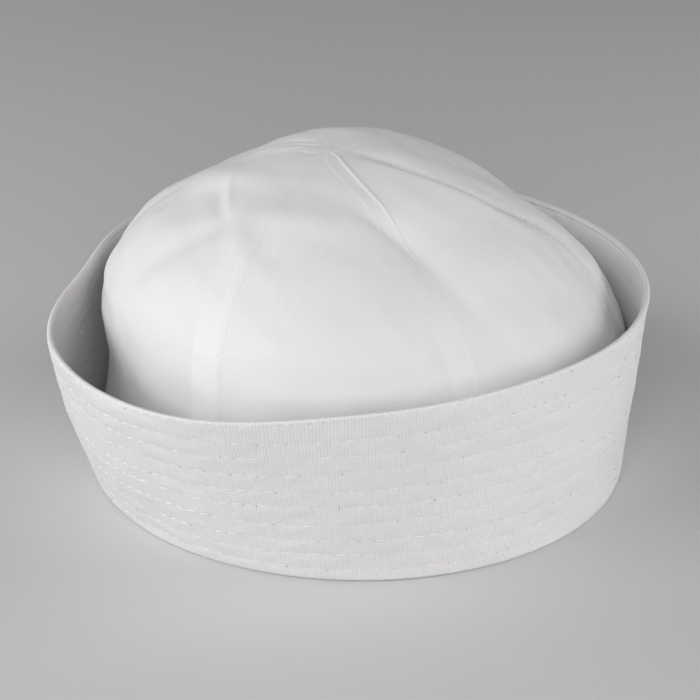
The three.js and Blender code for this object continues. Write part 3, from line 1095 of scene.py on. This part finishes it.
class SAILORCAP_OT_stitching(bpy.types.Operator):
    """Sews the rows of the brim and the seams of the crown"""

    bl_idname = "sailor_cap.stitching"
    bl_label = "Stitching"

    def execute(self, context):
        settings = context.scene.sailor_cap_stitches
        cloth = context.scene.sailor_cap_cloth
        thread = plain_material("thread", cloth.thread_colour, 0.9)
        fine = plain_material("fine_thread", cloth.crown_colour, 0.9)
        # Painted shade: a dark grey for the marks that stand in for the shade in the needle holes.
        dark = plain_material("needle_hole_shade", cloth.hole_shade_colour, 1.0)
        sizes = (settings.pitch, settings.length, settings.thread)
        half_pitch = math.degrees(0.5 * settings.pitch / (MEAN_RADIUS * MM))
        rows = range(len(BRIM_ROWS))
        outside = [brim_row(index, 0.0, 1) for index in rows]
        sewn = sew("brim_outside_stitches", outside, thread, settings.seed, *sizes, share=0.8)
        finish_piece(sewn, None, "brim_cloth")
        # Small dark marks of painted shade between the stitches, where the needle holes are.
        between = [brim_row(index, 0.0, 1, half_pitch) for index in rows]
        hole_shade_marks = sew("brim_needle_hole_shade", between, dark, settings.seed + 1, settings.pitch,
                    settings.hole, settings.hole, sink=0.0, share=0.24)
        finish_piece(hole_shade_marks, None, "brim_cloth")
        inside = [brim_row(index, BRIM_WALL, -1) for index in rows]
        sewn = sew("brim_inside_stitches", inside, fine, settings.seed + 2, settings.pitch,
                   settings.length, 0.6 * settings.thread, share=0.6)
        finish_piece(sewn, None, "brim_cloth")
        seams = [seam_row(index, edge) for index in range(GORES) for edge in (-1, 1)]
        sewn = sew("crown_seam_stitches", seams, fine, settings.seed + 3,
                   0.7 * settings.pitch, 0.7 * settings.length, 0.55 * settings.thread)
        finish_piece(sewn, None, "crown_cloth")
        return {"FINISHED"}


class SAILORCAP_OT_stage(bpy.types.Operator):
    """Makes the floor, the lights and the camera"""

    bl_idname = "sailor_cap.stage"
    bl_label = "Stage"

    def execute(self, context):
        stage = context.scene.sailor_cap_stage
        make_floor(stage.floor_colour)
        make_lights()
        make_camera(stage.elevation, stage.distance)
        context.scene.view_settings.view_transform = "Standard"
        return {"FINISHED"}


def make_floor(colour):
    """A wide pale floor at the level that the cap rests on."""
    reach = 4.0
    mesh = bpy.data.meshes.new("floor")
    corners = [(-reach, -reach, 0.0), (reach, -reach, 0.0), (reach, reach, 0.0), (-reach, reach, 0.0)]
    mesh.from_pydata(corners, [], [(0, 1, 2, 3)])
    floor = link("floor", mesh)
    mesh.materials.append(new_material("floor_paint", Base_Color=colour, Roughness=0.9)[0])


Lamp = namedtuple("Lamp", "name azimuth elevation distance size power")
LAMPS = [
    Lamp("front_softbox", 270, 24, 2.0, 1.2, 23.2),
    Lamp("left_softbox", 180, 15, 1.4, 0.8, 6.8),
    Lamp("left_mid_fill", 212, 35, 1.6, 0.8, 7.2),
    Lamp("right_softbox", 0, 15, 1.4, 0.8, 9.2),
    Lamp("right_high_fill", 340, 55, 1.6, 0.8, 0.5),
    Lamp("back_left_fill", 150, 30, 1.6, 0.9, 2.2),
]
ROOM_LIGHT = 0.04


def make_lights():
    """Soft boxes aimed at the cap, and a weak even light all round."""
    aim = Vector((0.0, 0.0, 0.5 * CAD_BOX[1][2]))
    for lamp in LAMPS:
        light = bpy.data.lights.new(lamp.name, "AREA")
        light.shape = "SQUARE"
        light.size = lamp.size
        light.energy = lamp.power
        turn, tilt = math.radians(lamp.azimuth), math.radians(lamp.elevation)
        level = math.cos(tilt)
        away = Vector((math.cos(turn) * level, math.sin(turn) * level, math.sin(tilt)))
        box = bpy.data.objects.new(lamp.name, light)
        box.location = aim + away * lamp.distance
        box.rotation_euler = away.to_track_quat("Z", "Y").to_euler()
        bpy.context.scene.collection.objects.link(box)
    world = bpy.data.worlds.new("room")
    world.use_nodes = True
    sky = world.node_tree.nodes["Background"]
    sky.inputs["Color"].default_value = (1.0, 1.0, 1.0, 1.0)
    sky.inputs["Strength"].default_value = ROOM_LIGHT
    bpy.context.scene.world = world


CAMERA_LENS = 134.55
CAMERA_ROLL = math.radians(0.29)
CAMERA_AIM = (-3.35, 0.0, 40.2)


def make_camera(elevation, distance):
    """The camera in front of the cap, looking down a little."""
    camera = bpy.data.cameras.new("camera")
    camera.lens = CAMERA_LENS
    camera.sensor_width = 36.0
    camera.clip_start = 0.05
    aim = Vector((np.array(CAMERA_AIM) - MIDDLE) * MM)
    forward = Vector((0.0, math.cos(elevation), -math.sin(elevation)))
    level = Vector((1.0, 0.0, 0.0))
    upright = level.cross(forward)
    right = level * math.cos(CAMERA_ROLL) + upright * math.sin(CAMERA_ROLL)
    top = upright * math.cos(CAMERA_ROLL) - level * math.sin(CAMERA_ROLL)
    turn = Matrix((right, top, -forward)).transposed().to_4x4()
    eye = bpy.data.objects.new("camera", camera)
    eye.matrix_world = Matrix.Translation(aim - forward * distance) @ turn
    bpy.context.scene.collection.objects.link(eye)
    bpy.context.scene.camera = eye


class SAILORCAP_PT_panel(bpy.types.Panel):
    """Lists the cap's pieces in the sidebar"""

    bl_label = "Sailor Cap"
    bl_idname = "SAILORCAP_PT_panel"
    bl_space_type = "VIEW_3D"
    bl_region_type = "UI"
    bl_category = "Sailor Cap"

    def draw(self, context):
        layout = self.layout
        for group, title in SETTINGS_SHOWN:
            layout.label(text=title)
            settings = getattr(context.scene, group)
            for name in type(settings).__annotations__:
                layout.prop(settings, name)
        for operator in OPERATORS:
            layout.operator(operator.bl_idname)


SETTINGS = {
    "sailor_cap_cloth": ClothSettings,
    "sailor_cap_stitches": StitchSettings,
    "sailor_cap_stage": StageSettings,
}
SETTINGS_SHOWN = [
    ("sailor_cap_cloth", "Cloth"),
    ("sailor_cap_stitches", "Stitches"),
    ("sailor_cap_stage", "Stage"),
]
OPERATORS = [SAILORCAP_OT_brim, SAILORCAP_OT_crown, SAILORCAP_OT_stitching, SAILORCAP_OT_stage]


def register():
    """Registers the settings, the operators and the panel."""
    for name, settings in SETTINGS.items():
        bpy.utils.register_class(settings)
        setattr(bpy.types.Scene, name, bpy.props.PointerProperty(type=settings))
    for operator in OPERATORS:
        bpy.utils.register_class(operator)
    bpy.utils.register_class(SAILORCAP_PT_panel)


def unregister():
    """Undoes register()."""
    bpy.utils.unregister_class(SAILORCAP_PT_panel)
    for operator in reversed(OPERATORS):
        bpy.utils.unregister_class(operator)
    for name, settings in reversed(SETTINGS.items()):
        delattr(bpy.types.Scene, name)
        bpy.utils.unregister_class(settings)


def main():
    """Builds the cap piece by piece."""
    register()
    bpy.ops.sailor_cap.brim()
    bpy.ops.sailor_cap.crown()
    bpy.ops.sailor_cap.stitching()
    bpy.ops.sailor_cap.stage()


if __name__ == "__main__":
    main()
